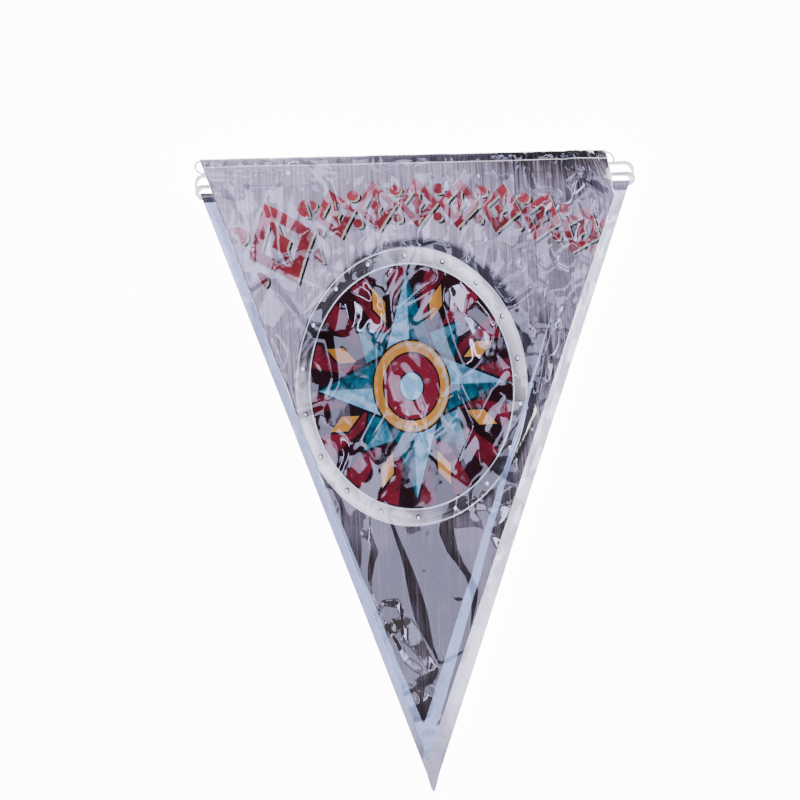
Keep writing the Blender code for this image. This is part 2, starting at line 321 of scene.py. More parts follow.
# %% [markdown]
# ## Crumpled film
#
# Between the big creases the film is never flat. It buckles into small facets that meet along short lines.
# Random planes give just that, one around each point of a jittered grid, with a quick blend from each to
# the next. Two sizes of them are added up. The numbers come from fixed seeds, so each run makes the same
# film.


# %% Facets
def facets(x, y, cell, tilt, seed):
    """Small tilted planes, one around each point of a jittered grid, blended where they meet."""
    rng = np.random.default_rng(seed)
    size = 64
    jitter = rng.uniform(-0.45, 0.45, (size, size, 2))
    slopes = rng.normal(0, tilt, (size, size, 2))
    column, row = np.floor(x / cell).astype(int), np.floor(y / cell).astype(int)
    total = np.zeros(x.shape)
    weights = np.zeros(x.shape)
    for step_x in (-1, 0, 1):
        for step_y in (-1, 0, 1):
            i, j = (column + step_x) % size, (row + step_y) % size
            away_x = x - (column + step_x + 0.5 + jitter[i, j, 0]) * cell
            away_y = y - (row + step_y + 0.5 + jitter[i, j, 1]) * cell
            weight = np.exp(-((away_x**2 + away_y**2) / (0.25 * cell) ** 2))
            total += weight * (slopes[i, j, 0] * away_x + slopes[i, j, 1] * away_y)
            weights += weight
    return total / np.maximum(weights, 1e-12)


def crumple(across, down):
    """Small facets near the hem and the right edge, large ones lower down, and hardly any near the tip."""
    calm = np.clip((down - 160) / 25, 0, 1)
    upper = np.clip((70 - down) / 30, 0, 1)
    right = np.clip((across - 40) / 30, 0, 1)
    coarse = facets(across, down * 0.7, cell=22, tilt=0.070, seed=11)
    middling = facets(across * 1.1, down * 0.8, cell=9, tilt=0.035, seed=12)
    coarse *= (1 - 0.85 * calm) * (1 - 0.8 * upper)
    middling *= (1 - 0.8 * calm) * np.maximum(0.25 + 1.35 * upper, right)
    return coarse + middling


# %% [markdown]
# ## One sheet of film
#
# A sheet is made from a grid of points down its middle. Moving the grid out both ways along its own
# normals gives the two faces, and a strip round the edge closes it, so that the film is a thin solid. Each
# corner of a face also keeps its place on the flat cut piece, as a UV map, and the print follows that.

# %% Film from a grid of points
FILM = 0.2 * MM
PRINTED, PLAIN, CUT = 0, 1, 2


def film_mesh(name, grid, flat, upper, lower):
    """A closed sheet: grid (rows, columns, 3) is its middle, flat (rows, columns, 2) its place when cut."""
    rows, columns = grid.shape[:2]
    normal = np.cross(np.gradient(grid, axis=0), np.gradient(grid, axis=1))
    normal /= np.linalg.norm(normal, axis=2, keepdims=True)
    points = np.stack([grid + normal * FILM / 2, grid - normal * FILM / 2]).reshape(-1, 3)
    index = np.arange(rows * columns).reshape(rows, columns)
    top = np.stack([index[:-1, :-1], index[1:, :-1], index[1:, 1:], index[:-1, 1:]], axis=-1).reshape(-1, 4)
    bottom = top[:, ::-1] + rows * columns
    ring = np.concatenate([index[:, 0], index[-1, 1:], index[-2::-1, -1], index[0, -2:0:-1]])
    ring = np.append(ring, ring[0])
    under = ring + rows * columns
    rim = np.stack([ring[1:], ring[:-1], under[:-1], under[1:]], axis=-1)
    faces = np.concatenate([top, bottom, rim])
    mesh = bpy.data.meshes.new(name)
    mesh.from_pydata(points.tolist(), [], faces.tolist())
    place = np.stack([flat, flat]).reshape(-1, 2)
    uv = mesh.uv_layers.new(name="cut")
    uv.data.foreach_set("uv", place[faces.ravel()].ravel())
    kinds = np.repeat([upper, lower, CUT], [len(top), len(bottom), len(rim)])
    mesh.polygons.foreach_set("material_index", kinds.astype(np.int32))
    mesh.polygons.foreach_set("use_smooth", kinds != CUT)
    mesh.update()
    return mesh


# %% [markdown]
# ## The hem
#
# The top edge of the film is turned back over the string and welded to the sheet 4.6 mm down. Seen from
# the end it is a flattened loop. Here it is a short list of points, down the flag and up from the string,
# from the weld at the back, round the string, to the face. A flag that lies face down has it mirrored.

# %% The hem's section, in millimetres: down from the top edge, up from the string, and the cut place
CORD_BELOW_EDGE = HEM_THICKNESS
HEM_DEPTH = 4.6
HEM_SECTION = [
    (4.6, -0.37, -5.6), (3.8, -0.40, -4.8), (3, -0.50, -4), (2.2, -0.60, -3.2),
    (1.3, -0.62, -2.3), (0.7, -0.54, -1.6), (0.25, -0.34, -1.1), (0.05, 0, -0.6),
    (0.25, 0.34, -0.1), (0.7, 0.54, 0.5), (1.3, 0.62, 1.1), (2.2, 0.52, 2),
    (3, 0.32, 2.9), (3.8, 0.08, 3.8), (4.6, -0.12, 4.6), (5.6, -0.15, 5.6),
]
BODY_LEVEL = -0.15


# %% A flag as it lies
def flag_rows(rows):
    """Down, up from the string, and the place on the cut piece, for each row of the sheet."""
    section = np.array(HEM_SECTION) * MM
    start = section[-1, 0]
    body = start + (FLAG_HEIGHT - start) * np.arange(1, rows + 1) / rows
    down = np.concatenate([section[:, 0], body])
    up = np.concatenate([section[:, 1], np.full(rows, BODY_LEVEL * MM)])
    cut = np.concatenate([section[:, 2], body])
    return down, up, cut


def flag_mesh(place, rows, columns):
    down, up, cut = (row[:, None] for row in flag_rows(rows))
    share = np.linspace(-1, 1, columns + 1)[None, :]
    if place.number == FRONT - 1:
        share = np.sin(share * pi / 2)
    across = share * half_width(down)
    down, up, cut = (row + 0 * share for row in (down, up, cut))
    face_up = place.number % 2 == 0
    flat = np.stack([0.5 + (across if face_up else -across) / FLAG_WIDTH, 1 - cut / FLAG_HEIGHT], axis=-1)
    lift = 0
    if place.number == FRONT:
        lift = sum(form(across / MM, down / MM) for form in (fold_height, crease_height, crumple)) * MM
        across = corner_pushed_in(across, down)
    if place.number == FRONT - 1:
        lift = -margin_sag(across / MM, down / MM) * MM
    x, y = on_the_pile(place, across, down)
    level = bed_height(place.number, x, y) + HEM_THICKNESS / 2
    height = level + lift + (up if face_up else -up)
    grid = np.stack([x, y + HEM_LINE, height], axis=-1)
    sides = (PRINTED, PLAIN) if face_up else (PLAIN, PRINTED)
    return film_mesh(f"film_pennant_{place.number:02d}", grid, flat, *sides)


# %% [markdown]
# ## The print
#
# The whole face is printed: a ground like upright brushed metal, light above and smoky below, an arch of
# red lozenges with cream edges and dark shadows, and an oval riveted medallion with a compass star. It is
# drawn with shader maths on the flat cut piece, in millimetres, so it stays sharp and follows every crease.
# First comes a pen with a few helpers, because such a drawing has many small nodes.


# %% Helpers for shader nodes
class Pen:
    """Adds nodes to a shader tree, and takes sockets and plain numbers alike as their inputs."""

    def __init__(self, tree):
        self.tree = tree

    def node(self, kind, inputs=(), **settings):
        """A new node with its settings. Its inputs are a list, or go by name."""
        node = self.tree.nodes.new(kind)
        for name, value in settings.items():
            setattr(node, name, value)
        for name, value in inputs.items() if isinstance(inputs, dict) else enumerate(inputs):
            self.feed(node.inputs[name], value)
        return node

    def feed(self, socket, value):
        if isinstance(value, bpy.types.NodeSocket):
            self.tree.links.new(value, socket)
        else:
            socket.default_value = value

    def math(self, operation, *values):
        return self.node("ShaderNodeMath", values, operation=operation).outputs[0]

    plus = partialmethod(math, "ADD")
    minus = partialmethod(math, "SUBTRACT")
    times = partialmethod(math, "MULTIPLY")
    over = partialmethod(math, "DIVIDE")
    absolute = partialmethod(math, "ABSOLUTE")
    sine = partialmethod(math, "SINE")
    cosine = partialmethod(math, "COSINE")
    angle_of = partialmethod(math, "ARCTAN2")
    both = times
    either = partialmethod(math, "MAXIMUM")

    def total(self, *values):
        return reduce(self.plus, values)

    def any_of(self, *masks):
        return reduce(self.either, masks)

    def ramp(self, value, start, end, low=0, high=1):
        """A straight ramp from low at start to high at end, level outside them."""
        return self.node("ShaderNodeMapRange", (value, start, end, low, high)).outputs["Result"]

    def below(self, value, edge, soft=0.25):
        """1 where the value is under the edge, and 0 over it."""
        return self.ramp(self.minus(value, edge), -soft / 2, soft / 2, 1, 0)

    def above(self, value, edge, soft=0.25):
        return self.ramp(self.minus(value, edge), -soft / 2, soft / 2)

    def mix(self, share, *colours):
        """The first colour where the share is 0, and the second one where it is 1."""
        one, other = (c if isinstance(c, bpy.types.NodeSocket) else (*c, 1) for c in colours)
        return self.node("ShaderNodeMix", {0: share, 6: one, 7: other}, data_type="RGBA").outputs[2]

    def point(self, x, y, z=0):
        return self.node("ShaderNodeCombineXYZ", (x, y, z)).outputs[0]

    def noise(self, x, y, scale, detail=2, roughness=0.5, seed=0):
        where = self.point(self.times(x, scale[0]), self.times(y, scale[1]), seed)
        inputs = {"Vector": where, "Scale": 1, "Detail": detail, "Roughness": roughness}
        return self.node("ShaderNodeTexNoise", inputs).outputs["Fac"]

    def length(self, x, y):
        return self.math("SQRT", self.plus(self.times(x, x), self.times(y, y)))

    def folded(self, value, period):
        """The value, wrapped to lie within half a period of 0."""
        return self.math("WRAP", value, period / 2, -period / 2)

    def group(self, group, *values):
        return self.node("ShaderNodeGroup", values, node_tree=group).outputs

    def give(self, name, value):
        """Feeds one of the node group's outputs."""
        self.feed(self.end.inputs[name], value)


def new_group(name, inputs, outputs):
    """An empty node group, a pen for it, and its inputs. The output called Color is a colour."""
    group = bpy.data.node_groups.new(name, "ShaderNodeTree")
    for socket in inputs.split():
        group.interface.new_socket(name=socket, in_out="INPUT", socket_type="NodeSocketFloat")
    for socket in outputs.split():
        kind = "NodeSocketColor" if socket == "Color" else "NodeSocketFloat"
        group.interface.new_socket(name=socket, in_out="OUTPUT", socket_type=kind)
    pen = Pen(group)
    entry = pen.node("NodeGroupInput")
    pen.end = pen.node("NodeGroupOutput")
    return group, pen, [entry.outputs[socket] for socket in inputs.split()]


# %% [markdown]
# ### The print's colours
#
# Inks on film are thin, so these colours are dull. The white that the eye sees over them is the film's
# gloss, and comes from the lamps.

# %% Inks
CRIMSON = (0.120, 0.007, 0.017)
LETTER_LIGHT = (0.27, 0.045, 0.062)
LETTER_DARK = (0.12, 0.012, 0.017)
MAROON = (0.010, 0.002, 0.004)
ICE = (0.15, 0.31, 0.48)
STEEL_BLUE = (0.056, 0.185, 0.27)
TEAL = (0.003, 0.085, 0.126)
DEEP_TEAL = (0.003, 0.016, 0.030)
GOLD = (0.34, 0.15, 0.026)
INK = (0.004, 0.004, 0.006)
CREAM = (0.28, 0.28, 0.22)
STEEL_LIGHT = (0.82, 0.81, 0.92)
STEEL_DARK = (0.026, 0.024, 0.030)
PALE_BLUE = (0.25, 0.32, 0.52)
# the film's white; on one half of the reverse it is also painted glare, a painted reflection
FILM_WHITE_AND_PAINTED_GLARE = (0.92, 0.90, 0.97)
FILM_BLUE = (0.53, 0.60, 0.93)
FILM_GREY = (0.27, 0.26, 0.33)
CUT_SHADE = (0.42, 0.43, 0.54)
SMOKE = (0.025, 0.020, 0.021)
BRUSHED = (0.375, 0.335, 0.455)
RIM_EDGE = (0.60, 0.60, 0.66)
# a painted highlight: the thin white line along the hem's lower edge
HEM_EDGE_HIGHLIGHT = (0.80, 0.80, 0.84)

# %% [markdown]
# ### Ground: brushed upright, light above and smoky below
#
# Brushed metal is many thin scratches side by side. A noise that is squeezed across and stretched down
# gives them, in two widths. Another, broad noise is the smoke. The ground is darkest at the tip and in the
# upper right corner.

# %% The ground's node group
ground_group, pen, (across, down) = new_group("brushed ground", "Across Down", "Color")
fine = pen.noise(across, down, (0.9, 0.015), 4, 0.75, 1)
broad = pen.noise(across, down, (0.35, 0.012), 2, 0.5, 5)
smoke = pen.noise(across, down, (0.022, 0.016), 3, 0.55, 9)
level = pen.total(
    pen.ramp(down, 60, 200, 0.74, 0),
    pen.both(pen.ramp(across, -50, 60, 0.06, -0.22), pen.ramp(down, 90, 200, 1, 0)),
    pen.ramp(smoke, 0.3, 0.7, -0.22, 0.22),
    pen.both(pen.ramp(fine, 0.3, 0.7, -0.38, 0.38), pen.ramp(down, 110, 190, 1, 0.35)),
    pen.both(pen.ramp(across, 0, 55, 0, -0.45), pen.ramp(down, 8, 28, 1, 0)),
    pen.ramp(broad, 0.3, 0.7, -0.07, 0.07),
)
level = pen.math("MINIMUM", pen.either(level, 0), 1.2)
pen.give("Color", pen.mix(level, SMOKE, BRUSHED))

# %% [markdown]
# ### Arch of lozenges
#
# Seven open lozenges stand on an arch behind a large one that leads them, each with a small one and a bar
# inside it and dots beside it. The chain is drawn once, on a straight line. The arch bends it, and draws it
# three times: a dark shadow down to the right, a cream edge close to the lozenge, and the red on top.

# %% The chain and the arch
CHAIN_STEP = 19.6
CHAIN_MIDDLE = 3
CHAIN_HALF = 4.5 * CHAIN_STEP
INITIAL_ALONG = -65
INITIAL_OUT = -6
INITIAL_SIZE = 1.75
ARCH_RADIUS = 195
ARCH_MIDDLE = (-3, 231)
LOZENGE_LEVEL = 206.5
LOZENGE_HALF = (9.8, 12.5)

chain_group, pen, (along, out) = new_group("lozenge chain", "Along Out", "Mask")
inside = pen.folded(along, CHAIN_STEP)
width = pen.absolute(pen.over(inside, LOZENGE_HALF[0]))
height = pen.absolute(pen.over(out, LOZENGE_HALF[1]))
size = pen.plus(width, height)
frame_mask = pen.both(pen.below(size, 1, 0.03), pen.above(size, 0.62, 0.03))
heart = pen.below(size, 0.27, 0.03)
bar = pen.both(pen.below(pen.absolute(inside), 0.9, 0.2), pen.below(height, 0.75, 0.03))
beside = pen.folded(pen.plus(along, CHAIN_STEP / 2), CHAIN_STEP)
dot = pen.below(pen.length(beside, pen.minus(out, 7)), 2.6)
other_dot = pen.below(pen.length(beside, pen.plus(out, 7)), 2.2)
mask = pen.any_of(frame_mask, heart, dot, other_dot, bar)
on_the_chain = pen.below(pen.absolute(along), CHAIN_HALF)
pen.give("Mask", pen.both(mask, on_the_chain))

LAYERS = {"Red": (0, 0), "Cream": (0.8, 0.7), "Shadow": (1.7, 1.5)}
arch_group, pen, (across, down) = new_group("lozenge arch", "Across Down", "Red Cream Shadow Tone")
for layer, (shift_x, shift_y) in LAYERS.items():
    x = pen.minus(across, ARCH_MIDDLE[0] + shift_x)
    y = pen.minus(ARCH_MIDDLE[1] + shift_y, down)
    along = pen.times(pen.angle_of(x, y), ARCH_RADIUS)
    out = pen.minus(pen.length(x, y), LOZENGE_LEVEL)
    chain = pen.group(chain_group, pen.minus(along, CHAIN_MIDDLE), out)[0]
    big_along = pen.over(pen.minus(along, INITIAL_ALONG), INITIAL_SIZE)
    big_out = pen.over(pen.minus(out, INITIAL_OUT), INITIAL_SIZE)
    initial = pen.group(chain_group, big_along, big_out)[0]
    initial = pen.both(initial, pen.below(pen.absolute(big_along), CHAIN_STEP / 2))
    chain = pen.both(chain, pen.above(along, CHAIN_MIDDLE - CHAIN_STEP * 2.5))
    pen.give(layer, pen.either(chain, initial))
    if layer == "Red":
        patchy = pen.noise(across, down, (0.11, 0.09), 3, 0.6, 3)
        tone = pen.plus(pen.ramp(out, -11, 11, 0, 0.75), pen.ramp(patchy, 0.35, 0.65, -0.3, 0.3))
        pen.give("Tone", tone)

# %% [markdown]
# ### Medallion with a compass star
#
# An oval plate with a steel rim and rivets. Its field is crimson and maroon rays. On it lies a star with
# four long and four short points, each split down its middle into a lit and a shaded half, round a gold
# ring. All of it is drawn in polar coordinates: folding the angle makes one point serve for all.

# %% One ring of star points
star_group, pen, (radius, angle, reach, notch) = new_group(
    "star points", "Radius Angle Reach Notch", "Outside Half"
)
turned = pen.folded(angle, pi / 2)
x = pen.times(radius, pen.cosine(turned))
y = pen.times(radius, pen.absolute(pen.sine(turned)))
corner = pen.times(notch, cos(pi / 4))
run = pen.minus(reach, corner)
edge = pen.length(run, corner)
across_edge = pen.plus(pen.both(pen.minus(x, reach), corner), pen.both(y, run))
pen.give("Outside", pen.over(across_edge, edge))
pen.give("Half", pen.ramp(turned, -0.01, 0.01))

# %% The medallion's field
RIM_OUTSIDE = 58
RIM_INSIDE = 50.5
RIVET_RING = 54.3
RIVETS = 18
OVAL = 0.83

medallion_group, pen, (x, y) = new_group("medallion", "X Y", "Color Mask Shadow")
y = pen.times(y, OVAL)
radius = pen.length(x, y)
angle = pen.angle_of(x, y)

# rays of the field, with painted patches
rays = pen.ramp(pen.sine(pen.times(angle, 16)), -0.15, 0.15)
paint = pen.noise(x, y, (0.09, 0.07), 4, 0.6, 2)
rays = pen.times(rays, pen.ramp(paint, 0.32, 0.62, 0.25, 1))
colour = pen.mix(rays, MAROON, CRIMSON)

# gold lozenges between the star's points
eighth = pen.folded(pen.plus(angle, pi / 8), pi / 4)
gem_x = pen.minus(pen.both(radius, pen.cosine(eighth)), 37)
gem_y = pen.both(radius, pen.sine(eighth))
gem = pen.plus(pen.absolute(pen.over(gem_x, 8)), pen.absolute(pen.over(gem_y, 3.4)))
colour = pen.mix(pen.below(gem, 1.32, 0.06), colour, INK)
colour = pen.mix(pen.below(gem, 1, 0.06), colour, GOLD)

# %% Its star: the short points, and the long ones over them
brush = pen.ramp(pen.noise(x, y, (0.25, 0.25), 4, 0.6, 7), 0.35, 0.65)
for reach, notch, turn in ((37, 20, pi / 4), (48, 18.5, 0)):
    outside, half = pen.group(star_group, radius, pen.plus(angle, turn), reach, notch)
    shaded = pen.mix(brush, DEEP_TEAL, TEAL)
    lit = pen.mix(brush, TEAL if turn else STEEL_BLUE, STEEL_BLUE if turn else ICE)
    colour = pen.mix(pen.below(outside, 0.7), colour, INK)
    colour = pen.mix(pen.below(outside, -0.5), colour, pen.mix(half, shaded, lit))

# gold ring, crimson heart and the boss in the middle
for size, ink in ((19.6, INK), (18.8, GOLD), (14.4, INK), (13.6, CRIMSON), (6.4, INK), (5.6, ICE)):
    colour = pen.mix(pen.below(radius, size), colour, ink)
ring_light = pen.below(pen.absolute(pen.minus(radius, 17.6)), 0.6, 0.4)
ring_light = pen.both(ring_light, pen.ramp(pen.sine(angle), -1, 0.6))
colour = pen.mix(ring_light, colour, CREAM)

# %% Its steel rim: brighter where it faces up and left, with thin light edges and rivets
sheen = pen.sine(pen.plus(pen.times(angle, 2), pi))
scratches = pen.noise(radius, angle, (2, 3), 2, 0.5, 4)
steel = pen.plus(pen.ramp(sheen, -0.6, 1, 0, 1.1), pen.ramp(scratches, 0.3, 0.7, -0.1, 0.1))
steel = pen.both(steel, pen.ramp(radius, RIM_INSIDE, RIM_OUTSIDE - 2, 0.35, 1))
rim = pen.mix(steel, STEEL_DARK, STEEL_LIGHT)
for edge in (RIM_OUTSIDE - 0.8, RIM_INSIDE + 0.5):
    rim = pen.mix(pen.below(pen.absolute(pen.minus(radius, edge)), 0.28), rim, RIM_EDGE)
spot = pen.folded(angle, 2 * pi / RIVETS)
spot_x = pen.minus(pen.both(radius, pen.cosine(spot)), RIVET_RING)
spot_y = pen.both(radius, pen.sine(spot))
rim = pen.mix(pen.below(pen.length(spot_x, spot_y), 1.25), rim, INK)
rim = pen.mix(pen.below(pen.length(pen.minus(spot_x, 0.25), spot_y), 0.8, 0.5), rim, STEEL_LIGHT)
colour = pen.mix(pen.above(radius, RIM_INSIDE - 0.6), colour, INK)
colour = pen.mix(pen.above(radius, RIM_INSIDE), colour, rim)

shade = pen.length(pen.minus(x, 4.2), pen.plus(y, 2.4))
pen.give("Color", colour)
pen.give("Mask", pen.below(radius, RIM_OUTSIDE))
pen.give("Shadow", pen.ramp(shade, RIM_OUTSIDE, RIM_OUTSIDE + 2, 0.85, 0))

# %% [markdown]
# ### Pale edges, hem and welds
#
# The sheets are printed first and cut later, a little askew, so the print's pale border shows as a wedge
# down the left edge and as a band inside the right one, and fills the tip. The hem is held by round weld
# spots in a row. Along its lower edge a thin white line is a painted highlight.

# %% Border and hem
TIP_BAND = 286
border_group, pen, (across, down) = new_group("pale border", "Across Down", "Mask")
edge = pen.ramp(down, 0, FLAG_HEIGHT / MM, FLAG_WIDTH / MM / 2, 0)
wave = pen.ramp(pen.noise(down, 3, (0.05, 1), 1, 0.5, 2), 0.3, 0.7, -0.5, 0.5)
from_right = pen.plus(pen.minus(edge, across), wave)
outer = pen.ramp(down, 75, 273, 12, 1.4)
inner = pen.plus(outer, pen.ramp(down, 72, 273, 0, 6.6))
right_band = pen.both(pen.above(from_right, outer), pen.below(from_right, inner))
from_left = pen.total(edge, across, wave)
left_band = pen.below(from_left, pen.ramp(down, 120, 280, 0, 4.2))
pen.give("Mask", pen.any_of(right_band, left_band, pen.above(down, TIP_BAND)))

WELD_STEP = 9.4
WELD_DOWN = 2.5
hem_group, pen, (across, down) = new_group("hem marks", "Across Down", "Welds Line Turned")
from_weld = pen.length(pen.folded(across, WELD_STEP), pen.minus(down, WELD_DOWN))
weld = pen.both(pen.below(from_weld, 1.15), pen.above(from_weld, 0.55))
pen.give("Welds", weld)
# Line is a painted highlight along the hem's lower edge
pen.give("Line", pen.below(pen.absolute(pen.minus(down, 4.4)), 0.22, 0.2))
pen.give("Turned", pen.below(down, HEM_DEPTH))

# %% [markdown]
# ### Crinkles
#
# Film buckles into flat facets at every size. Those too small for the mesh are made as a bump. Each cell of
# a Voronoi pattern is a little plane with a tilt of its own, so its edges stay crisp at any distance.

# %% Small facets as a bump
crinkle_group, pen, (across, down, size, tilt) = new_group(
    "crinkles", "Across Down Size Tilt", "Height"
)
bend = pen.noise(across, down, (0.08, 0.05), 1, 0.5, 3)
x = pen.plus(across, pen.ramp(bend, 0, 1, -9, 9))
y = pen.times(pen.plus(down, pen.ramp(bend, 0, 1, 7, -7)), 0.6)
x, y = pen.over(x, size), pen.over(y, size)
cells = pen.node("ShaderNodeTexVoronoi", {"Vector": pen.point(x, y), "Scale": 1}, voronoi_dimensions="2D")
centre = pen.node("ShaderNodeSeparateXYZ", [cells.outputs["Position"]]).outputs
lot = pen.node("ShaderNodeSeparateColor", [cells.outputs["Color"]]).outputs
rise = pen.both(pen.minus(lot[0], 0.5), pen.minus(x, centre[0]))
climb = pen.both(pen.minus(lot[1], 0.5), pen.minus(y, centre[1]))
pen.give("Height", pen.both(pen.both(pen.plus(rise, climb), size), tilt))

# %% [markdown]
# ### The film's materials
#
# Printed film is a smooth plastic over ink: a plain shader with a clear coat. Only the layer under the coat
# has the crinkles, so two mirror images lie over each other, one smooth and one broken, as in real film.
# The reverse shows the film's milky colour with a hint of the print through it, and turns grey towards the
# tip. One half of it is painted whiter than the other, a painted reflection of glare. The cut edge is the
# film seen end on.


# %% Helpers for materials
def new_material(name, finish):
    """A material, a pen for it and its shader, which has the plain settings of the finish."""
    material = bpy.data.materials.new(name)
    material.use_nodes = True
    shader = material.node_tree.nodes["Principled BSDF"]
    for setting, value in finish.items():
        shader.inputs[setting].default_value = value
    return material, Pen(material.node_tree), shader


def make_bumps(pen, shader, height, distance=1 * MM, strength=1):
    inputs = {"Strength": strength, "Distance": distance, "Height": height}
    pen.feed(shader.inputs["Normal"], pen.node("ShaderNodeBump", inputs).outputs[0])


def film_shader(name, roughness, coat):
    """A material of film, and the place on the flat cut piece in millimetres."""
    finish = {"Roughness": roughness, "Coat Weight": coat, "Coat IOR": 1.7, "Coat Roughness": 0.03}
    material, pen, shader = new_material(name, finish)
    cut = pen.node("ShaderNodeUVMap", uv_map="cut").outputs[0]
    u, v, _ = pen.node("ShaderNodeSeparateXYZ", [cut]).outputs
    across = pen.times(pen.minus(u, 0.5), FLAG_WIDTH / MM)
    down = pen.times(pen.minus(1, v), FLAG_HEIGHT / MM)
    return material, pen, shader, across, down


# %% Printed film
PRINT_TURN = radians(1.65)
MEDALLION = (-7.3, 116)

printed_film, pen, shader, across, down = film_shader("printed film", 0.08, 1)
x = pen.minus(pen.times(across, cos(PRINT_TURN)), pen.times(down, sin(PRINT_TURN)))
y = pen.plus(pen.times(across, sin(PRINT_TURN)), pen.times(down, cos(PRINT_TURN)))
colour = pen.group(ground_group, x, y)[0]
red, cream, shadow, tone = pen.group(arch_group, x, y)
colour = pen.mix(shadow, colour, INK)
colour = pen.mix(cream, colour, CREAM)
colour = pen.mix(red, colour, pen.mix(tone, LETTER_DARK, LETTER_LIGHT))
x, y = pen.minus(x, MEDALLION[0]), pen.minus(y, MEDALLION[1])
drawn, on_it, shade = pen.group(medallion_group, x, y)
colour = pen.mix(shade, colour, INK)
colour = pen.mix(on_it, colour, drawn)
colour = pen.mix(pen.group(border_group, across, down)[0], colour, PALE_BLUE)
welds, line, turned = pen.group(hem_group, across, down)
colour = pen.mix(pen.both(turned, pen.ramp(across, -60, 0, 0.20, 0.78)), colour, INK)
# Painted highlight: a thin white line along the hem's lower edge.
colour = pen.mix(pen.both(line, 0.8), colour, HEM_EDGE_HIGHLIGHT)
colour = pen.mix(pen.both(welds, 0.55), colour, INK)
pen.feed(shader.inputs["Base Color"], colour)
handled = pen.both(pen.ramp(across, 30, 75), pen.ramp(down, 60, 10, 0.35, 1))
handled = pen.either(handled, pen.ramp(down, 240, 268, 0, 0.5))
tilt = pen.ramp(handled, 0, 1, 0.03, 0.55)
small = pen.group(crinkle_group, across, down, 4, tilt)[0]
quiet = pen.plus(pen.ramp(down, 50, 75, 0.17, 0.10), pen.ramp(down, 150, 175, 0, -0.08))
tilt = pen.plus(quiet, pen.ramp(handled, 0, 1, 0, 0.35))
large = pen.group(crinkle_group, across, down, 11, tilt)[0]
make_bumps(pen, shader, pen.total(small, large, pen.times(welds, -0.15)))

# %% Reverse and cut edge
film_reverse, pen, shader, across, down = film_shader("film reverse", 0.20, 1)
milk = pen.noise(across, down, (0.03, 0.02), 3, 0.5, 8)
grey = pen.plus(pen.ramp(down, 255, 283, 0, 1), pen.ramp(milk, 0.3, 0.7, -0.20, 0.10))
# Painted reflection: one half of the reverse is painted whiter, as glare, and the other half pale blue.
white = pen.mix(pen.ramp(across, -20, 20), FILM_WHITE_AND_PAINTED_GLARE, FILM_BLUE)
colour = pen.mix(grey, white, FILM_GREY)
colour = pen.mix(0.06, colour, pen.group(ground_group, across, down)[0])
pen.feed(shader.inputs["Base Color"], colour)
small = pen.group(crinkle_group, across, down, 2.5, 0.12)[0]
large = pen.group(crinkle_group, across, down, 6, 0.35)[0]
make_bumps(pen, shader, pen.plus(small, large))

film_edge, pen, shader, across, down = film_shader("film cut edge", 0.4, 0.3)
nick = pen.noise(across, down, (1.2, 1.2))
pen.feed(shader.inputs["Base Color"], pen.mix(pen.ramp(nick, 0.3, 0.7), CUT_SHADE, FILM_WHITE_AND_PAINTED_GLARE))
FILM_MATERIALS = (printed_film, film_reverse, film_edge)
print(len(printed_film.node_tree.nodes), "nodes and", len(bpy.data.node_groups), "groups draw the print")

# %% [markdown]
# ## The ten flags
#
# The front flag has the finest grid, about a point each millimetre, because its creases are what one sees.
# The second one shows its reverse beside and below the front flag, so its points crowd towards its edges.
# The others show only their edges.

# %% Lay the flags
def dress(mesh, materials, node):
    """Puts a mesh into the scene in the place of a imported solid."""
    for material in materials:
        mesh.materials.append(material)
    piece = bpy.data.objects.new(mesh.name, mesh)
    bpy.context.scene.collection.objects.link(piece)
    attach(piece, "root")
    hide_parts(node)
    return piece


GRIDS = {BACK: (70, 40), FRONT - 1: (240, 150), FRONT: (280, 160)}
PILE_GRID = (40, 20)
for place in PLACES:
    mesh = flag_mesh(place, *GRIDS.get(place.number, PILE_GRID))
    dress(mesh, FILM_MATERIALS, f"pennant_{place.number:02d}")
    print(mesh.name, len(mesh.polygons), "faces")

# %% [markdown]
# ## The string
#
# One white twisted string runs through all the hems. Between neighbouring flags its slack lies as a flat
# hairpin in the shelf beneath the front flag's top edge. A route is a list of points seen from above, each
# with how far the string has sunk there from the hem to the slack's layer.

# %% The string's bends, in millimetres: out past the corner, up from the hems, and how far sunk (0 to 1)
INNER_TURN = [
    (-0.2, -1.3, 0), (0.9, -1.1, 0), (1.8, -0.3, 0.02), (2.2, 0.9, 0.04), (1.8, 2.4, 0.07),
    (0.5, 3.7, 0.14), (-3, 4.2, 0.33),
]
LOWER_RUN = [(-13, 4.2, 0.72), (-28, 3.9, 0.95), (-50, 4.2, 1), (-76, 3.9, 1)]
MIDDLE_TURN = [
    (-98.5, 4, 1), (-101.9, 4.9, 1), (-103, 6.9, 1), (-101.9, 8.9, 1), (-98.5, 9.8, 1),
]
UPPER_RUN = [
    (-74, 10, 1), (-48, 9.6, 1), (-28, 9.9, 0.95), (-13, 9.8, 0.72), (-3, 9.8, 0.46),
]
OUTER_TURN = [
    (0.4, 9.3, 0.36), (2, 7.8, 0.29), (2.6, 5.6, 0.22), (2.6, 2.8, 0.14), (2.3, 0.9, 0.07),
    (1.8, -0.3, 0.03), (0.9, -1.1, 0), (-0.2, -1.3, 0),
]
FRONT_TURN = [
    (-0.2, 15.1, 0), (0.9, 14.9, 0), (1.8, 14.1, 0.03), (2.2, 12.9, 0.08), (1.8, 11.4, 0.15),
    (0.6, 10.2, 0.26),
]
FRONT_FREE_END = [(-44, 4.1, 1)]
BACK_FREE_END = [(-6, 9.8, 1)]
CORD_PITCH = CORD_DIAMETER + 0.35 * MM
STRING_STEP = 0.8 * MM
INSIDE_HEM = 3 * MM
FLOOR_GAP = 0.05 * MM


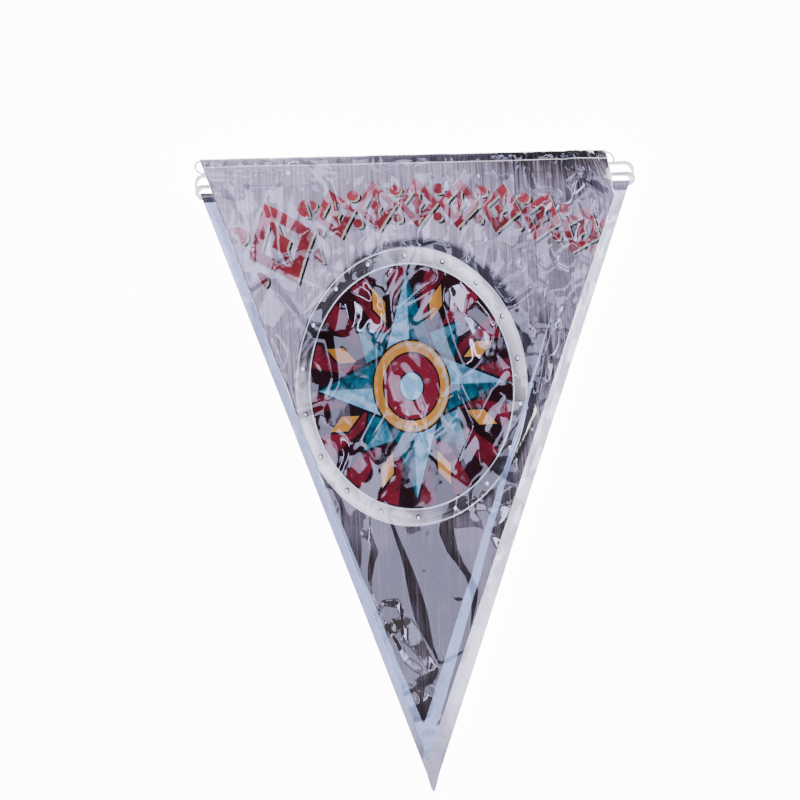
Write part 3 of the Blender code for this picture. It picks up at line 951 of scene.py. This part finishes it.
# %% Where the string goes
def hem_end(number, side):
    """Where the string comes out of a flag's hem, just clear of its right (1) or left (-1) end."""
    across = side * float(half_width(CORD_BELOW_EDGE))
    lift = 0
    if number == FRONT:
        # the soft folds lift the front hem, and with it the string's end
        lift = float(fold_height(np.array([across / MM]), np.array([CORD_BELOW_EDGE / MM]))[0]) * MM
        across = float(corner_pushed_in(across, CORD_BELOW_EDGE))
    x, y = on_the_pile(PLACES[number - 1], across, CORD_BELOW_EDGE)
    up = float(bed_height(number, x, y)) + lift
    x, y = on_the_pile(PLACES[number - 1], across + side * CLEARANCE, CORD_BELOW_EDGE)
    return Vector((x, y, up + HEM_THICKNESS / 2))


def at_bend(side, out, up, _):
    return Vector((side * (FLAG_WIDTH / 2 + out * MM), up * MM, 0))


def route(bends, side, layer, start, end=None):
    """The bends as points on the pile, each drawn towards the hem end that it is nearer to."""
    points = []
    for index, bend in enumerate(bends):
        leaving = end is None or index < len(bends) / 2
        hem, hem_bend = (start, bends[0]) if leaving else (end, bends[-1])
        sunk = bend[-1]
        point = at_bend(side, *bend) + (hem - at_bend(side, *hem_bend)) * (1 - sunk)
        point.z += (FLOOR_GAP + CORD_DIAMETER / 2 + layer * CORD_PITCH) * sunk
        points.append(point + Vector((0, HEM_LINE, 0)))
    return points


def into_the_hem(points, side, both_ends):
    """The string runs on inside the hem, where it isn't seen."""
    step = Vector((-side * INSIDE_HEM, 0, 0))
    return [points[0] + step, *points, *([points[-1] + step] if both_ends else [])]


def smooth(points):
    """Points under a millimetre apart on a smooth curve that stays above the floor."""
    ends = [2 * points[0] - points[1], *points, 2 * points[-1] - points[-2]]
    curve = []
    for before, start, stop, after in zip(ends, ends[1:], ends[2:], ends[3:]):
        length = (stop - start).length
        leaving = start + (stop - before).normalized() * length / 3
        arriving = stop - (after - start).normalized() * length / 3
        steps = ceil(length / STRING_STEP)
        curve += interpolate_bezier(start, leaving, arriving, stop, steps + 1)[:-1]
    curve.append(points[-1])
    for point in curve:
        point.z = max(point.z, FLOOR_GAP + CORD_DIAMETER / 2)
    return curve


# %% [markdown]
# A twisted string is three strands that wind round each other. Sweeping a round section with three shallow
# dents along the route, and turning it as it goes, gives real strands that catch the light.

# %% Twisted string
STRANDS = 3
SECTION_POINTS = 12
TWIST_LENGTH = 4.5 * MM
UV_LENGTH = 300 * MM


def string_mesh(name, path):
    points = np.array([tuple(point) for point in path])
    forward = np.gradient(points, axis=0)
    forward /= np.linalg.norm(forward, axis=1, keepdims=True)
    travelled = np.concatenate([[0], np.cumsum(np.linalg.norm(np.diff(points, axis=0), axis=1))])
    side = np.cross(forward[0], (0, 0, 1))
    angles = np.arange(SECTION_POINTS) * 2 * pi / SECTION_POINTS
    rings = []
    for point, ahead, length in zip(points, forward, travelled):
        side = side - ahead * np.dot(side, ahead)
        side /= np.linalg.norm(side)
        over = np.cross(ahead, side)
        turned = angles - 2 * pi * length / TWIST_LENGTH
        radius = CORD_DIAMETER / 2 * (0.80 + 0.20 * np.abs(np.cos(turned * STRANDS / 2)))
        outwards = np.cos(angles)[:, None] * side + np.sin(angles)[:, None] * over
        rings.append(point + radius[:, None] * outwards)
    index = np.arange(len(rings) * SECTION_POINTS).reshape(len(rings), SECTION_POINTS)
    beside = np.roll(index, -1, axis=1)
    walls = np.stack([index[:-1], beside[:-1], beside[1:], index[1:]], axis=-1).reshape(-1, 4)
    mesh = bpy.data.meshes.new(name)
    faces = [*walls.tolist(), index[0, ::-1].tolist(), index[-1].tolist()]
    mesh.from_pydata(np.concatenate(rings).tolist(), [], faces)
    uv = mesh.uv_layers.new(name="wound")
    corners = np.zeros(len(mesh.loops), dtype=np.int32)
    mesh.loops.foreach_get("vertex_index", corners)
    around = np.tile(angles / (2 * pi), len(rings))
    wound = np.stack([around, np.repeat(travelled, SECTION_POINTS) / UV_LENGTH], axis=-1)
    uv.data.foreach_set("uv", wound[corners].ravel())
    mesh.shade_smooth()
    mesh.update()
    return mesh, float(travelled[-1])


# %% The string's finish
STRING_SHADE = (0.58, 0.58, 0.60)
STRING_LIGHT = (0.82, 0.82, 0.82)
string_white, pen, shader = new_material("white string", {"Roughness": 0.75, "Sheen Weight": 0.3})
where = pen.node("ShaderNodeTexCoord").outputs["Object"]
fibres = pen.node("ShaderNodeTexNoise", {"Vector": where, "Scale": 2500, "Detail": 3}).outputs["Fac"]
fibre_light = pen.ramp(fibres, 0.35, 0.65)
pen.feed(shader.inputs["Base Color"], pen.mix(fibre_light, STRING_SHADE, STRING_LIGHT))
make_bumps(pen, shader, fibres, 0.1 * MM, 0.4)

# %% Lay the string
hairpin = INNER_TURN + LOWER_RUN + MIDDLE_TURN + UPPER_RUN + OUTER_TURN
front_hairpin = FRONT_TURN + (INNER_TURN[1:] + LOWER_RUN + MIDDLE_TURN + UPPER_RUN)[::-1] + INNER_TURN[:1]
back_tail = INNER_TURN + LOWER_RUN + MIDDLE_TURN + UPPER_RUN[:-1] + BACK_FREE_END
front_tail = FRONT_TURN + (LOWER_RUN[2:] + MIDDLE_TURN + UPPER_RUN)[::-1] + FRONT_FREE_END
stretches = {
    "line_tail_back": (route(back_tail, -1, 0, hem_end(BACK, -1)), -1, "bare"),
    "line_tail_front": (route(front_tail, -1, FRONT // 2, hem_end(FRONT, -1)), -1, "bare"),
}
for lower in range(BACK, FRONT):
    side = 1 if lower % 2 else -1
    bends = front_hairpin if lower + 1 == FRONT else hairpin
    points = route(bends, side, lower // 2, hem_end(lower + 1, side), hem_end(lower, side))
    stretches[f"line_hairpin_{lower}"] = (points, side, "object")
for node, (points, side, far_end) in stretches.items():
    path = smooth(into_the_hem(points, side, far_end == "object"))
    mesh, length = string_mesh(node.replace("line", "string"), path)
    string = dress(mesh, [string_white], node)
    print(string.name, round(length / MM), "mm")

# %% [markdown]
# ## Floor and lamps
#
# The photograph's white ground is lit until it clips, so this floor is white and glows. Soft boxes
# hang over the pile, and the film mirrors them as a pale veil with crisp edges. The gaps between them are
# mirrored where the print shows its deep colours. A narrow lamp to the right makes the bright streaks. Two
# low suns beside the pile light the colours. They are kept out of mirror images, because crumpled film
# would break them into white specks. The world fills the shadows.

# %% Floor
bpy.ops.mesh.primitive_plane_add(size=8, location=(0, 0, 0))
floor = bpy.context.object
floor.name = "floor"
finish = {"Base Color": (0.9, 0.9, 0.9, 1), "Roughness": 0.9}
glow = {"Emission Color": (1, 1, 1, 1), "Emission Strength": 12}
floor.data.materials.append(new_material("white ground", finish | glow)[0])

# %% Lamps
world = bpy.data.worlds.new("studio")
world.use_nodes = True
background = world.node_tree.nodes["Background"]
background.inputs["Color"].default_value = (0.92, 0.95, 1.05, 1)
background.inputs["Strength"].default_value = 0.04
bpy.context.scene.world = world

LAMP_TINT = (0.81, 0.81, 1.27)
SUN_TINT = (1, 0.95, 0.98)
SUN_WIDTH = radians(16)
Lamp = namedtuple("Lamp", "name place size radiance")
LAMPS = [
    Lamp("upper_left_softbox", (-0.32, 0.44, 1.45), (0.38, 0.68), 4.6),
    Lamp("upper_right_softbox", (0.31, 0.22, 1.45), (0.38, 0.18), 4.4),
    Lamp("lower_softbox", (0, -0.41, 1.45), (0.98, 0.60), 2.9),
    Lamp("lower_left_softbox", (-0.30, -0.06, 1.45), (0.40, 0.10), 2.9),
    Lamp("edge_light", (0.64, 0.10, 1.40), (0.10, 0.90), 14),
]
for lamp in LAMPS:
    bpy.ops.object.light_add(type="AREA", location=lamp.place)
    light = bpy.context.object
    light.name = lamp.name
    light.data.shape = "RECTANGLE"
    light.data.size, light.data.size_y = lamp.size
    light.data.energy = lamp.radiance * pi * lamp.size[0] * lamp.size[1]
    light.data.color = LAMP_TINT
    print(lamp.name, round(light.data.energy, 1), "W")
SIDE_LIGHTS = {
    "right_side_light": ((0.62, 0.66, 0.42), 8),
    "left_side_light": ((-0.80, 0.30, 0.42), 3.5),
}
for name, (place, strength) in SIDE_LIGHTS.items():
    turn = Vector(place).to_track_quat("Z", "Y").to_euler()
    bpy.ops.object.light_add(type="SUN", location=place, rotation=turn)
    light = bpy.context.object
    light.name = name
    light.data.energy = strength
    light.data.angle = SUN_WIDTH
    light.visible_glossy = False
    light.data.color = SUN_TINT
    print(name, strength, "W/m2")
